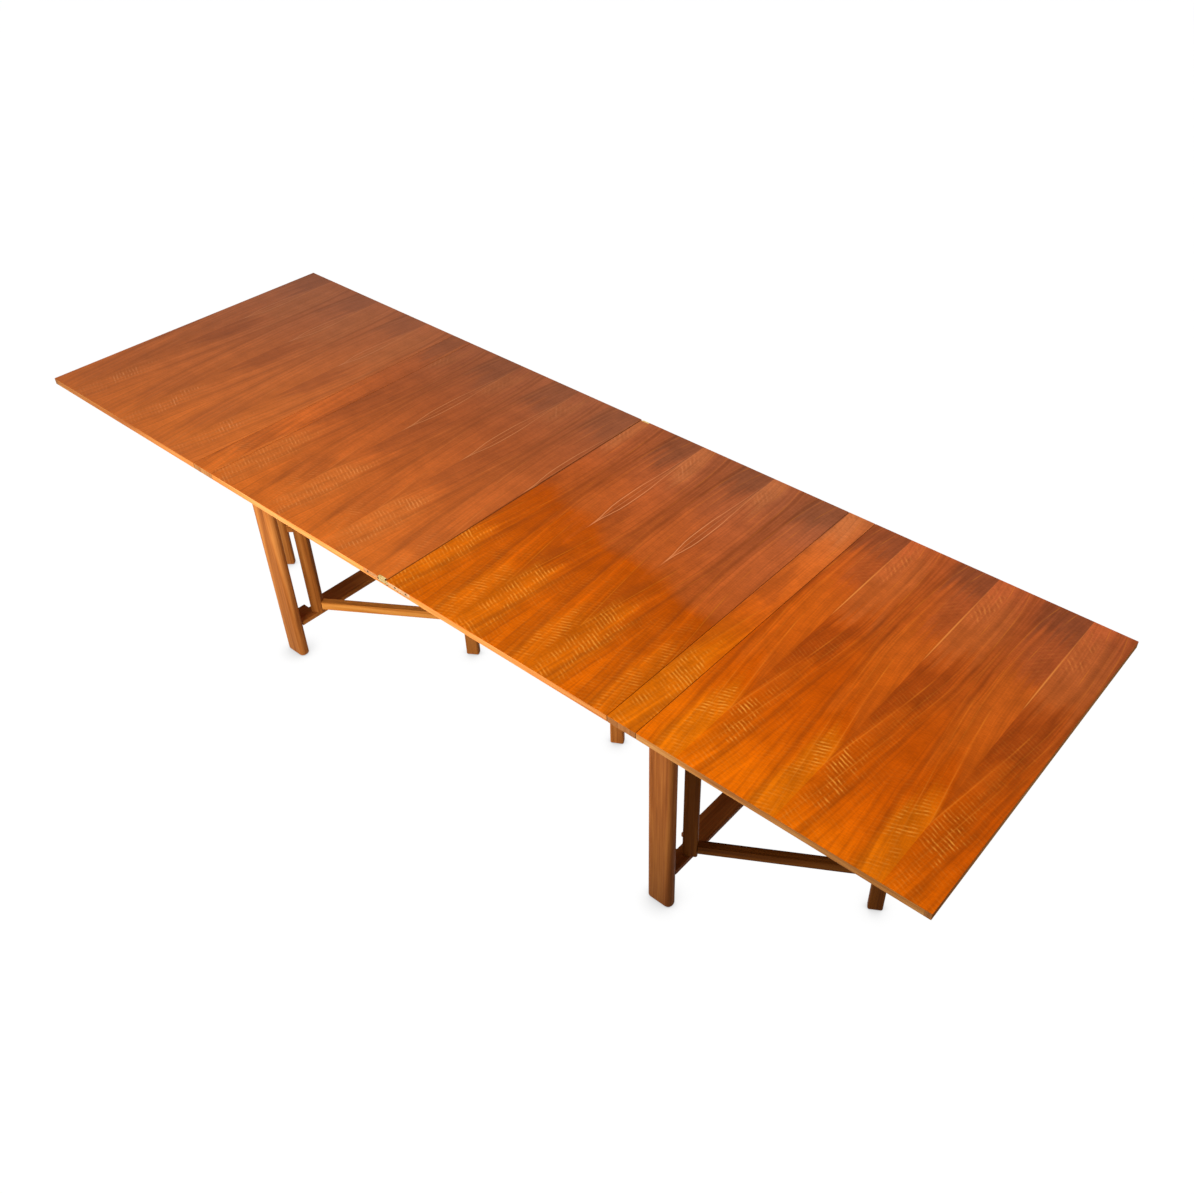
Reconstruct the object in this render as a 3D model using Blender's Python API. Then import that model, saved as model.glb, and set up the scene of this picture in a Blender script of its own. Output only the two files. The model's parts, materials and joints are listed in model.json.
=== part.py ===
"""A folding gate-leg dining table, opened to its full length.

Two narrow gate-leg units stand end to end. Each unit has a fixed centre strip, two leaves
hinged to it from below, a frame of two slab legs and two flat boards, and two gates that swing
out on steel pins to carry the leaves. Brass edge hinges join the two inner leaves in the middle.
Metres, +Z up. The origin is on the floor under the middle of the table, and X runs along it.
"""
import math

import bmesh
import bpy
from mathutils import Matrix
from mathutils import Vector

# Overall sizes
UNIT_LENGTH = 1.400  # one unit: centre strip and two leaves
TABLE_WIDTH = 0.900
TABLE_HEIGHT = 0.720
UNITS = ("left", "right")

# Top boards
TOP_THICKNESS = 0.018
STRIP_WIDTH = 0.074
SEAM_GAP = 0.0010  # open joint between a strip and a leaf
CENTRE_GAP = 0.0016  # open joint between the two inner leaves
TOP_EDGE_EASING = 0.0009

# Fits
FIT_GAP = 0.0003  # between pieces that touch
TURN_GAP = 0.0005  # between pieces that turn or slide past each other

# Slab legs
LEG_WIDTH = 0.071  # along the table
LEG_DEPTH = 0.030
LEG_INSET = 0.122  # from the edge of the top to the leg's outer face
LEG_EDGE_RADIUS = 0.013
LEG_FOOT_RADIUS = 0.005

# Flat boards between the legs, one near the floor and one under the strip
BOARD_WIDTH = 0.062
BOARD_THICKNESS = 0.014
LOWER_BOARD_HEIGHT = 0.103  # floor to its underside
BOARD_EDGE_EASING = 0.0015
BOARD_TENON_WIDTH = 0.034
BOARD_TENON_THICKNESS = 0.008
BOARD_TENON_LENGTH = 0.018

# Gates
GATE_THICKNESS = 0.022
GATE_POST_WIDTH = 0.037
GATE_LEG_WIDTH = 0.038
GATE_REACH = 0.457  # pivot axis to the middle of the gate's leg
GATE_RAIL_HEIGHT = 0.0265
LOWER_RAIL_HEIGHT = 0.130  # floor to its underside
UPPER_RAIL_DROP = 0.012  # from the upper board's underside to the upper rail
GATE_EDGE_RADIUS = 0.005
GATE_FOOT_RADIUS = 0.004
GATE_RAIL_EASING = 0.002
RAIL_TENON_THICKNESS = 0.009
RAIL_TENON_HEIGHT = 0.017
PIN_WALL = 0.002  # wood left between a rail's tenon and the pin
PIVOT_OFFSET = 0.0235  # pivot axis from the middle of the strip
PIVOT_FROM_LEG = 0.0635  # pivot axis from the inner face of the slab leg
NOTCH_CLEARANCE = 0.004  # round a closed gate's leg, in the boards
# How far each gate stands open from the frame, in degrees
GATE_ANGLES = {
    "left_outer": 48.0,
    "left_inner": 57.5,
    "right_inner": 61.0,
    "right_outer": 59.5,
}

# Steel pivot pins
PIN_RADIUS = 0.004
PIN_IN_POST = 0.024
PIN_IN_BOARD = 0.011
PIN_CHAMFER = 0.0006

# Butt hinges under the seams between strip and leaves
HINGE_INSET = 0.090  # from the edge of the top to the hinge's middle
HINGE_LENGTH = 0.050
HINGE_PLATE_WIDTH = 0.024
HINGE_PLATE_THICKNESS = 0.0015
KNUCKLE_RADIUS = 0.003
KNUCKLE_DROP = 0.0036  # underside of the top to the hinge axis
HINGE_PIN_RADIUS = 0.0012

# Brass edge hinges at the middle of the table
EDGE_PLATE_LENGTH = 0.072
EDGE_PLATE_HEIGHT = 0.0115
EDGE_PLATE_THICKNESS = 0.003
EDGE_PLATE_DROP = 0.0015  # top of the table to the top of the plate
EDGE_EYE_RADIUS = 0.0052
EDGE_TONGUE_HEIGHT = 0.0072
EDGE_PIN_RADIUS = 0.0016
EDGE_BLOCK_LENGTH = 0.022
EDGE_BLOCK_DEPTH = 0.006

# Values that follow from the sizes above
UNDERSIDE = TABLE_HEIGHT - TOP_THICKNESS
HALF_WIDTH = TABLE_WIDTH / 2
LEG_INNER = HALF_WIDTH - LEG_INSET - LEG_DEPTH  # inner face of a leg from the middle
LEG_HEIGHT = UNDERSIDE - FIT_GAP
UPPER_BOARD_HEIGHT = UNDERSIDE - FIT_GAP - BOARD_THICKNESS
PIVOT_Y = LEG_INNER - PIVOT_FROM_LEG
HINGE_AXIS_X = STRIP_WIDTH / 2 + SEAM_GAP / 2
HINGE_AXIS_Z = UNDERSIDE - KNUCKLE_DROP
LEAF_REACH = UNIT_LENGTH / 2 - HINGE_AXIS_X  # hinge axis to the end of the leaf
POST_BOTTOM = LOWER_BOARD_HEIGHT + BOARD_THICKNESS + TURN_GAP
POST_TOP = UPPER_BOARD_HEIGHT - TURN_GAP
UPPER_RAIL_HEIGHT = UPPER_BOARD_HEIGHT - UPPER_RAIL_DROP - GATE_RAIL_HEIGHT
RAIL_HEIGHTS = {"lower": LOWER_RAIL_HEIGHT, "upper": UPPER_RAIL_HEIGHT}
RAIL_SPAN = GATE_REACH - GATE_POST_WIDTH / 2 - GATE_LEG_WIDTH / 2 - 2 * FIT_GAP
RAIL_TENON_LENGTH = GATE_POST_WIDTH / 2 - PIN_RADIUS - TURN_GAP - PIN_WALL
KNUCKLE_LENGTH = HINGE_LENGTH / 3
EDGE_AXIS_DROP = EDGE_PLATE_DROP + EDGE_PLATE_HEIGHT / 2
ROUND_SEGMENTS = 16
PARALLEL = 0.999  # least cosine for an edge to count as running along an axis


def clear_scene():
    for item in list(bpy.data.objects):
        bpy.data.objects.remove(item, do_unlink=True)


def new_collection(name):
    collection = bpy.data.collections.new(name)
    bpy.context.scene.collection.children.link(collection)
    return collection


clear_scene()
PARTS = new_collection("gate_leg_table")
CUTTERS = new_collection("cutters")


def finish(name, colour, roughness, metallic=0.0):
    material = bpy.data.materials.new(name)
    material.use_nodes = True
    shader = material.node_tree.nodes["Principled BSDF"]
    shader.inputs["Base Color"].default_value = (*colour, 1.0)
    shader.inputs["Roughness"].default_value = roughness
    shader.inputs["Metallic"].default_value = metallic
    material.diffuse_color = (*colour, 1.0)
    return material


VENEER = finish("teak_veneer_top", (0.52, 0.17, 0.035), 0.35)
FRAME_WOOD = finish("oiled_teak_frame", (0.30, 0.12, 0.045), 0.5)
GATE_WOOD = finish("oiled_teak_gate", (0.33, 0.14, 0.05), 0.5)
STEEL = finish("bright_steel", (0.56, 0.56, 0.55), 0.35, 1.0)
BRASS = finish("worn_brass", (0.72, 0.52, 0.22), 0.35, 1.0)


# Mesh helpers

def box_form(low, high):
    """A box between two corners, as a bmesh."""
    low = Vector(low)
    high = Vector(high)
    form = bmesh.new()
    place = Matrix.Translation((low + high) / 2) @ Matrix.Diagonal((*(high - low), 1.0))
    bmesh.ops.create_cube(form, size=1.0, matrix=place)
    return form


def rod_form(radius, start, end):
    """A round rod between two points, as a bmesh."""
    start = Vector(start)
    end = Vector(end)
    turn = (end - start).to_track_quat("Z", "Y").to_matrix().to_4x4()
    form = bmesh.new()
    bmesh.ops.create_cone(
        form, cap_ends=True, segments=ROUND_SEGMENTS, radius1=radius, radius2=radius,
        depth=(end - start).length, matrix=Matrix.Translation((start + end) / 2) @ turn)
    return form


def round_edges(form, chosen, radius, segments):
    """Round the edges for which chosen(first point, second point) is true."""
    edges = [edge for edge in form.edges if chosen(edge.verts[0].co, edge.verts[1].co)]
    bmesh.ops.bevel(form, geom=edges, offset=radius, segments=segments, profile=0.5, affect="EDGES")


def along(axis):
    """A test for edges that run along one axis."""
    def chosen(first, second):
        return abs((second - first).normalized()[axis]) > PARALLEL
    return chosen


def at_height(height):
    """A test for edges that lie at one height."""
    def chosen(first, second):
        return abs(first.z - height) < FIT_GAP and abs(second.z - height) < FIT_GAP
    return chosen


def every_edge(first, second):
    return True


def add_tenons(form, axis, sizes, length):
    """Draw a stub tenon out of both end faces along an axis; sizes are its sizes on all three axes."""
    for sign in (1, -1):
        end = max(form.faces, key=lambda face: sign * face.calc_center_median()[axis])
        bmesh.ops.inset_individual(form, faces=[end], thickness=FIT_GAP)
        middle = end.calc_center_median()
        spans = [max(v.co[i] for v in end.verts) - min(v.co[i] for v in end.verts) for i in range(3)]
        factors = [1.0 if i == axis else sizes[i] / spans[i] for i in range(3)]
        bmesh.ops.scale(form, vec=factors, space=Matrix.Translation(-middle), verts=end.verts)
        drawn = bmesh.ops.extrude_discrete_faces(form, faces=[end])["faces"]
        step = Vector((0.0, 0.0, 0.0))
        step[axis] = sign * length
        bmesh.ops.translate(form, vec=step, verts=drawn[0].verts)


def to_object(name, form, collection):
    mesh = bpy.data.meshes.new(name)
    bmesh.ops.recalc_face_normals(form, faces=form.faces)
    form.to_mesh(mesh)
    form.free()
    item = bpy.data.objects.new(name, mesh)
    collection.objects.link(item)
    return item


def shape(name, base, cuts=(), joins=()):
    """The mesh of a base form with other forms joined to it and then cut away from it."""
    item = to_object(name, base, CUTTERS)
    item.hide_render = True
    item.display_type = "WIRE"
    steps = [("UNION", form) for form in joins] + [("DIFFERENCE", form) for form in cuts]
    for operation, form in steps:
        helper = to_object(name + "_" + operation.lower(), form, CUTTERS)
        helper.hide_render = True
        helper.display_type = "WIRE"
        modifier = item.modifiers.new(operation.lower(), "BOOLEAN")
        modifier.operation = operation
        modifier.solver = "EXACT"
        modifier.object = helper
    graph = bpy.context.evaluated_depsgraph_get()
    mesh = bpy.data.meshes.new_from_object(item.evaluated_get(graph))
    mesh.name = name
    mesh.shade_smooth()
    mesh.set_sharp_from_angle(angle=math.radians(35))
    return mesh


def place(name, mesh, material, parent, location=(0.0, 0.0, 0.0), turn=0.0):
    """A named sub-part with its own copy of a mesh, under a parent, turned about Z in degrees."""
    item = bpy.data.objects.new(name, mesh.copy())
    PARTS.objects.link(item)
    item.data.materials.append(material)
    item.parent = parent
    item.location = location
    item.rotation_euler = (0.0, 0.0, math.radians(turn))
    return item


def guide(name, location, turn=0.0, parent=None):
    """An empty that carries the pieces of a unit, a gate or a leaf."""
    item = bpy.data.objects.new(name, None)
    PARTS.objects.link(item)
    item.parent = parent
    item.location = location
    item.rotation_euler = (0.0, 0.0, math.radians(turn))
    return item


# Shapes of the top

def strip_shape():
    """Centre strip, seen from the middle of its underside."""
    form = box_form((-STRIP_WIDTH / 2, -HALF_WIDTH, 0.0), (STRIP_WIDTH / 2, HALF_WIDTH, TOP_THICKNESS))
    round_edges(form, every_edge, TOP_EDGE_EASING, 2)
    return shape("strip", form)


def leaf_form(end_gap):
    """Leaf from its hinge axis outwards along +X."""
    low = (SEAM_GAP / 2, -HALF_WIDTH, KNUCKLE_DROP)
    high = (LEAF_REACH - end_gap, HALF_WIDTH, KNUCKLE_DROP + TOP_THICKNESS)
    form = box_form(low, high)
    round_edges(form, every_edge, TOP_EDGE_EASING, 2)
    return form


def outer_leaf_shape():
    return shape("outer_leaf", leaf_form(0.0))


def inner_leaf_shape():
    """Inner leaf, with recesses in both long edges for the brass edge hinges.

    The eye with the block sits in the edge at -Y, and the eye with the pin in the edge at +Y.
    """
    top = KNUCKLE_DROP + TOP_THICKNESS
    plate_top = top - EDGE_PLATE_DROP
    plate_low = plate_top - EDGE_PLATE_HEIGHT
    end = LEAF_REACH
    inner_end = end - EDGE_EYE_RADIUS - FIT_GAP - EDGE_PLATE_LENGTH - FIT_GAP
    block_end = end - EDGE_EYE_RADIUS - FIT_GAP - EDGE_BLOCK_LENGTH - FIT_GAP
    cuts = []
    for sign in (1, -1):
        face = sign * HALF_WIDTH
        floor = sign * (HALF_WIDTH - EDGE_PLATE_THICKNESS - FIT_GAP)
        beyond = face + sign * TOP_THICKNESS
        cuts.append(box_form(
            (inner_end, min(floor, beyond), plate_low - FIT_GAP),
            (end + TOP_THICKNESS, max(floor, beyond), plate_top + FIT_GAP)))
    block_floor = -(HALF_WIDTH - EDGE_BLOCK_DEPTH - FIT_GAP)
    cuts.append(box_form(
        (block_end, -(HALF_WIDTH + TOP_THICKNESS), plate_low - FIT_GAP),
        (end + TOP_THICKNESS, block_floor, top + TOP_THICKNESS)))
    return shape("inner_leaf", leaf_form(CENTRE_GAP / 2), cuts=cuts)


# Shapes of the frame

def leg_shape():
    """Slab leg standing on the floor, its inner face towards +Y at y = LEG_DEPTH / 2."""
    form = box_form(
        (-LEG_WIDTH / 2, -LEG_DEPTH / 2, 0.0), (LEG_WIDTH / 2, LEG_DEPTH / 2, LEG_HEIGHT))
    round_edges(form, along(2), LEG_EDGE_RADIUS, 5)
    round_edges(form, at_height(0.0), LEG_FOOT_RADIUS, 4)
    cuts = []
    for height in (LOWER_BOARD_HEIGHT, UPPER_BOARD_HEIGHT):
        middle = height + BOARD_THICKNESS / 2
        half = BOARD_TENON_THICKNESS / 2 + FIT_GAP
        cuts.append(box_form(
            (-BOARD_TENON_WIDTH / 2 - FIT_GAP, LEG_DEPTH / 2 - BOARD_TENON_LENGTH - FIT_GAP, middle - half),
            (BOARD_TENON_WIDTH / 2 + FIT_GAP, LEG_DEPTH, middle + half)))
    return shape("leg", form, cuts=cuts)


def board_shape():
    """Flat board between the legs, with a notch for each closed gate's leg and two pin holes."""
    half_length = LEG_INNER - FIT_GAP
    half_width = BOARD_WIDTH / 2
    form = box_form((-half_width, -half_length, 0.0), (half_width, half_length, BOARD_THICKNESS))
    round_edges(form, along(1), BOARD_EDGE_EASING, 2)
    add_tenons(form, 1, (BOARD_TENON_WIDTH, 0.0, BOARD_TENON_THICKNESS), BOARD_TENON_LENGTH)
    cuts = []
    for sign in (1, -1):
        middle = sign * (GATE_REACH - PIVOT_Y)
        reach = GATE_LEG_WIDTH / 2 + NOTCH_CLEARANCE
        floor = sign * (PIVOT_OFFSET - GATE_THICKNESS / 2 - NOTCH_CLEARANCE)
        beyond = sign * 2 * half_width
        cuts.append(box_form(
            (min(floor, beyond), middle - reach, -BOARD_THICKNESS),
            (max(floor, beyond), middle + reach, 2 * BOARD_THICKNESS)))
        hole = (sign * PIVOT_OFFSET, -sign * PIVOT_Y)
        cuts.append(rod_form(
            PIN_RADIUS + FIT_GAP, (*hole, -BOARD_THICKNESS), (*hole, 2 * BOARD_THICKNESS)))
    return shape("board", form, cuts=cuts)


# Shapes of a gate; Y runs from the pivot axis to the gate's leg

def rail_mortise(face_y, direction, height):
    """Cutter for a rail's tenon in a face of the post or the leg."""
    middle = height + GATE_RAIL_HEIGHT / 2
    deep = face_y - direction * (RAIL_TENON_LENGTH + FIT_GAP)
    out = face_y + direction * GATE_THICKNESS
    half_thick = RAIL_TENON_THICKNESS / 2 + FIT_GAP
    half_high = RAIL_TENON_HEIGHT / 2 + FIT_GAP
    return box_form(
        (-half_thick, min(deep, out), middle - half_high),
        (half_thick, max(deep, out), middle + half_high))


def gate_post_shape():
    """Pivot post round the axis, with a blind bore for a pin in each end."""
    half = GATE_POST_WIDTH / 2
    form = box_form((-GATE_THICKNESS / 2, -half, POST_BOTTOM), (GATE_THICKNESS / 2, half, POST_TOP))
    round_edges(form, along(2), GATE_EDGE_RADIUS, 3)
    bore = PIN_RADIUS + TURN_GAP
    deep = PIN_IN_POST + TURN_GAP
    cuts = [
        rod_form(bore, (0.0, 0.0, POST_BOTTOM - deep), (0.0, 0.0, POST_BOTTOM + deep)),
        rod_form(bore, (0.0, 0.0, POST_TOP - deep), (0.0, 0.0, POST_TOP + deep)),
    ]
    cuts += [rail_mortise(half, 1, height) for height in RAIL_HEIGHTS.values()]
    return shape("gate_post", form, cuts=cuts)


def gate_leg_shape():
    """Outer leg of a gate, from the floor to just under the leaf."""
    half = GATE_LEG_WIDTH / 2
    form = box_form(
        (-GATE_THICKNESS / 2, GATE_REACH - half, 0.0),
        (GATE_THICKNESS / 2, GATE_REACH + half, UNDERSIDE - TURN_GAP))
    round_edges(form, along(2), GATE_EDGE_RADIUS, 3)
    round_edges(form, at_height(0.0), GATE_FOOT_RADIUS, 3)
    cuts = [rail_mortise(GATE_REACH - half, -1, height) for height in RAIL_HEIGHTS.values()]
    return shape("gate_leg", form, cuts=cuts)


def gate_rail_shape():
    """Rail between post and leg, with stub tenons; its underside is at z = 0."""
    start = GATE_POST_WIDTH / 2 + FIT_GAP
    form = box_form(
        (-GATE_THICKNESS / 2, start, 0.0), (GATE_THICKNESS / 2, start + RAIL_SPAN, GATE_RAIL_HEIGHT))
    round_edges(form, along(1), GATE_RAIL_EASING, 2)
    add_tenons(form, 1, (RAIL_TENON_THICKNESS, 0.0, RAIL_TENON_HEIGHT), RAIL_TENON_LENGTH)
    return shape("gate_rail", form)


def pin_shape():
    """Steel pin; z = 0 is at the board's face, with the post above it and the board below."""
    form = rod_form(PIN_RADIUS, (0.0, 0.0, -PIN_IN_BOARD), (0.0, 0.0, PIN_IN_POST))
    for height in (-PIN_IN_BOARD, PIN_IN_POST):
        round_edges(form, at_height(height), PIN_CHAMFER, 1)
    return shape("pin", form)


# Shapes of the butt hinges; the axis runs along Y through the origin, the strip lies towards -X

def knuckle_forms(sign, low, high):
    """A knuckle between two places on the axis and the tongue that joins it to its plate."""
    plate_top = KNUCKLE_DROP - FIT_GAP
    plate_low = plate_top - HINGE_PLATE_THICKNESS
    tip = sign * (KNUCKLE_RADIUS + 2 * TURN_GAP)
    tongue = box_form((min(0.0, tip), low, plate_low), (max(0.0, tip), high, plate_top))
    return [rod_form(KNUCKLE_RADIUS, (0.0, low, 0.0), (0.0, high, 0.0)), tongue]


def hinge_plate_form(sign):
    plate_top = KNUCKLE_DROP - FIT_GAP
    near = sign * (KNUCKLE_RADIUS + TURN_GAP)
    far = sign * (KNUCKLE_RADIUS + TURN_GAP + HINGE_PLATE_WIDTH)
    return box_form(
        (min(near, far), -HINGE_LENGTH / 2, plate_top - HINGE_PLATE_THICKNESS),
        (max(near, far), HINGE_LENGTH / 2, plate_top))


def strip_plate_shape():
    """Plate under the strip, with the two outer knuckles and the pin."""
    half = HINGE_LENGTH / 2
    inner = KNUCKLE_LENGTH / 2
    joins = knuckle_forms(-1, -half, -inner) + knuckle_forms(-1, inner, half)
    joins.append(rod_form(HINGE_PIN_RADIUS, (0.0, -half + FIT_GAP, 0.0), (0.0, half - FIT_GAP, 0.0)))
    return shape("strip_plate", hinge_plate_form(-1), joins=joins)


def leaf_plate_shape():
    """Plate under the leaf, with the middle knuckle bored for the pin."""
    inner = KNUCKLE_LENGTH / 2 - TURN_GAP
    bore = rod_form(HINGE_PIN_RADIUS + FIT_GAP, (0.0, -HINGE_LENGTH, 0.0), (0.0, HINGE_LENGTH, 0.0))
    return shape("leaf_plate", hinge_plate_form(1), cuts=[bore], joins=knuckle_forms(1, -inner, inner))


# Shapes of the edge hinges; the origin is on the pin, at the outer face of the near edge

def edge_bar_form(sign):
    near = sign * (EDGE_EYE_RADIUS + FIT_GAP)
    far = sign * (EDGE_EYE_RADIUS + FIT_GAP + EDGE_PLATE_LENGTH)
    half = EDGE_PLATE_HEIGHT / 2
    return box_form(
        (min(near, far), 0.0, -half), (max(near, far), EDGE_PLATE_THICKNESS, half))


def eye_forms(sign, low, high):
    """An eye round the pin and the tongue that joins it to its bar."""
    tip = sign * (EDGE_EYE_RADIUS + 2 * FIT_GAP)
    half = EDGE_TONGUE_HEIGHT / 2
    tongue = box_form((min(0.0, tip), low, -half), (max(0.0, tip), high, half))
    return [rod_form(EDGE_EYE_RADIUS, (0.0, low, 0.0), (0.0, high, 0.0)), tongue]


def edge_block_plate_shape():
    """Edge plate with the front eye and a block that shows at the top of the table."""
    split = EDGE_PLATE_THICKNESS / 2 - FIT_GAP / 2
    near = -(EDGE_EYE_RADIUS + FIT_GAP)
    half = EDGE_PLATE_HEIGHT / 2
    block = box_form(
        (near - EDGE_BLOCK_LENGTH, 0.0, -half), (near, EDGE_BLOCK_DEPTH, EDGE_AXIS_DROP - FIT_GAP))
    bore = rod_form(
        EDGE_PIN_RADIUS + FIT_GAP, (0.0, -EDGE_PLATE_THICKNESS, 0.0), (0.0, 2 * EDGE_PLATE_THICKNESS, 0.0))
    joins = [block] + eye_forms(-1, 0.0, split)
    return shape("edge_block_plate", edge_bar_form(-1), cuts=[bore], joins=joins)


def edge_pin_plate_shape():
    """Edge plate with the back eye and the pin."""
    split = EDGE_PLATE_THICKNESS / 2 + FIT_GAP / 2
    joins = eye_forms(1, split, EDGE_PLATE_THICKNESS)
    joins.append(rod_form(EDGE_PIN_RADIUS, (0.0, FIT_GAP, 0.0), (0.0, EDGE_PLATE_THICKNESS - FIT_GAP, 0.0)))
    return shape("edge_pin_plate", edge_bar_form(1), joins=joins)


MESHES = {
    "strip": strip_shape(),
    "outer_leaf": outer_leaf_shape(),
    "inner_leaf": inner_leaf_shape(),
    "leg": leg_shape(),
    "board": board_shape(),
    "gate_post": gate_post_shape(),
    "gate_leg": gate_leg_shape(),
    "gate_rail": gate_rail_shape(),
    "pin": pin_shape(),
    "strip_plate": strip_plate_shape(),
    "leaf_plate": leaf_plate_shape(),
    "edge_block_plate": edge_block_plate_shape(),
    "edge_pin_plate": edge_pin_plate_shape(),
}


# Assembly

def side_turn(sign):
    """Pieces are drawn for the +X side of a unit and turned half round for the other side."""
    return 0.0 if sign > 0 else 180.0


def add_frame(unit, stand):
    """Centre strip, two slab legs and two boards."""
    place(unit + "_centre_strip", MESHES["strip"], VENEER, stand, (0.0, 0.0, UNDERSIDE))
    leg_y = LEG_INNER + LEG_DEPTH / 2
    place(unit + "_near_leg", MESHES["leg"], FRAME_WOOD, stand, (0.0, -leg_y, 0.0))
    place(unit + "_far_leg", MESHES["leg"], FRAME_WOOD, stand, (0.0, leg_y, 0.0), 180.0)
    place(unit + "_lower_board", MESHES["board"], FRAME_WOOD, stand, (0.0, 0.0, LOWER_BOARD_HEIGHT))
    place(unit + "_upper_board", MESHES["board"], FRAME_WOOD, stand, (0.0, 0.0, UPPER_BOARD_HEIGHT))


def add_gate(unit, side, sign, stand):
    """A gate of post, leg and two rails round its pivot axis, and the two pins it turns on."""
    name = unit + "_" + side + "_gate"
    spot = (sign * PIVOT_OFFSET, -sign * PIVOT_Y)
    angle = GATE_ANGLES[unit + "_" + side]
    pivot = guide(name + "_pivot", (*spot, 0.0), side_turn(sign) - angle, stand)
    place(name + "_post", MESHES["gate_post"], GATE_WOOD, pivot)
    place(name + "_leg", MESHES["gate_leg"], GATE_WOOD, pivot)
    for level, height in RAIL_HEIGHTS.items():
        place(name + "_" + level + "_rail", MESHES["gate_rail"], GATE_WOOD, pivot, (0.0, 0.0, height))
    place(name + "_lower_pin", MESHES["pin"], STEEL, stand, (*spot, LOWER_BOARD_HEIGHT + BOARD_THICKNESS))
    upper = place(name + "_upper_pin", MESHES["pin"], STEEL, stand, (*spot, UPPER_BOARD_HEIGHT))
    upper.rotation_euler = (math.pi, 0.0, 0.0)


def add_leaf(unit, side, sign, stand):
    """A leaf, its two butt hinges and the empty on their axis."""
    name = unit + "_" + side
    spot = (sign * HINGE_AXIS_X, 0.0, HINGE_AXIS_Z)
    axis = guide(name + "_leaf_axis", spot, side_turn(sign), stand)
    place(name + "_leaf", MESHES[side + "_leaf"], VENEER, axis)
    hinge_y = HALF_WIDTH - HINGE_INSET
    for end, y in (("near", -sign * hinge_y), ("far", sign * hinge_y)):
        hinge = name + "_hinge_" + end
        place(hinge + "_leaf_plate", MESHES["leaf_plate"], STEEL, axis, (0.0, y, 0.0))
        place(hinge + "_strip_plate", MESHES["strip_plate"], STEEL, axis, (0.0, y, 0.0))


def add_edge_hinge(end, turn):
    """A brass hinge across the middle seam, in the near or the far edge of the top."""
    y = -HALF_WIDTH if end == "near" else HALF_WIDTH
    pivot = guide("centre_" + end + "_hinge_axis", (0.0, y, TABLE_HEIGHT - EDGE_AXIS_DROP), turn)
    block_side, pin_side = ("left", "right") if end == "near" else ("right", "left")
    place("centre_" + end + "_hinge_" + block_side + "_plate", MESHES["edge_block_plate"], BRASS, pivot)
    place("centre_" + end + "_hinge_" + pin_side + "_plate", MESHES["edge_pin_plate"], BRASS, pivot)


def build():
    for unit, direction in zip(UNITS, (-1, 1)):
        stand = guide(unit + "_unit", (direction * UNIT_LENGTH / 2, 0.0, 0.0))
        add_frame(unit, stand)
        for side, sign in (("outer", direction), ("inner", -direction)):
            add_gate(unit, side, sign, stand)
            add_leaf(unit, side, sign, stand)
    add_edge_hinge("near", 0.0)
    add_edge_hinge("far", 180.0)


build()
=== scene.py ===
"""Looks of the folding gate-leg dining table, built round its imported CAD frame."""
import json
import math
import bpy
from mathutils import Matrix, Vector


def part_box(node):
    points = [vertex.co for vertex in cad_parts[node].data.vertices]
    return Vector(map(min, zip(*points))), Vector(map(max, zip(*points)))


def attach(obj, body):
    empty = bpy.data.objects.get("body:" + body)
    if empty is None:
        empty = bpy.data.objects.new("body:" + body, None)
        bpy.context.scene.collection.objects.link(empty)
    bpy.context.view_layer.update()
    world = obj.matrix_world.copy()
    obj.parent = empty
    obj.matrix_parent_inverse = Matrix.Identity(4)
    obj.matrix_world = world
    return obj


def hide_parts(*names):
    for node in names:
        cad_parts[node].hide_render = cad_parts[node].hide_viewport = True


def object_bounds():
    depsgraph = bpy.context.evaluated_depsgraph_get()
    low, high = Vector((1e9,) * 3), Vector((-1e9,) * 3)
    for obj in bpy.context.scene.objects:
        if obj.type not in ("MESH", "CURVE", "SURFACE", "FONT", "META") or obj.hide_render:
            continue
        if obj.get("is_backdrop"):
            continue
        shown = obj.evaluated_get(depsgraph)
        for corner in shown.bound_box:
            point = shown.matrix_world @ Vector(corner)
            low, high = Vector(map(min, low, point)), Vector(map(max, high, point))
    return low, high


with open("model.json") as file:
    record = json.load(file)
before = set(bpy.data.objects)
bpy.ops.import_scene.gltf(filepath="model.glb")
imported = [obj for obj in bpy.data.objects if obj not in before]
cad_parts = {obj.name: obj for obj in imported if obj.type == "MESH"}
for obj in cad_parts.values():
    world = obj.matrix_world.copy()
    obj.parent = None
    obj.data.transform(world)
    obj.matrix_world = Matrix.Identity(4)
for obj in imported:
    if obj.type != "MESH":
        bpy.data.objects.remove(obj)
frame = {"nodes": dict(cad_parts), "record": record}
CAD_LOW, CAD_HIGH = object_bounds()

from types import SimpleNamespace

import bmesh
import bpy
from mathutils import Vector

NODES = frame["nodes"]
BODY_OF = {member: body for body, members in frame["record"]["behaviour"]["bodies"].items()
           for member in members}

# Sizes that the looks need, in metres
HALF_WIDTH = CAD_HIGH.y
HALF_LENGTH = CAD_HIGH.x
END_LIPPING = 0.015  # solid wood at the ends of the table, its end grain shows at the corners
MERGE = 1e-5  # points of a CAD mesh closer than this are one point
UNIT_MIDDLE = 0.700  # middle of the table to the middle of each frame
BUTT_PLATE = 0.0015  # thickness of the butt hinges' plates
EDGE_PLATE_HALF = 0.00575  # half the height of the edge hinges' plates
EDGE_BLOCK_END = 0.0275  # middle of the table to the end of the edge hinges' blocks
PLATE_SINK = 0.0004  # the edge plates lie this far below the face of the lipping
METAL_EASING = 0.00025

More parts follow.
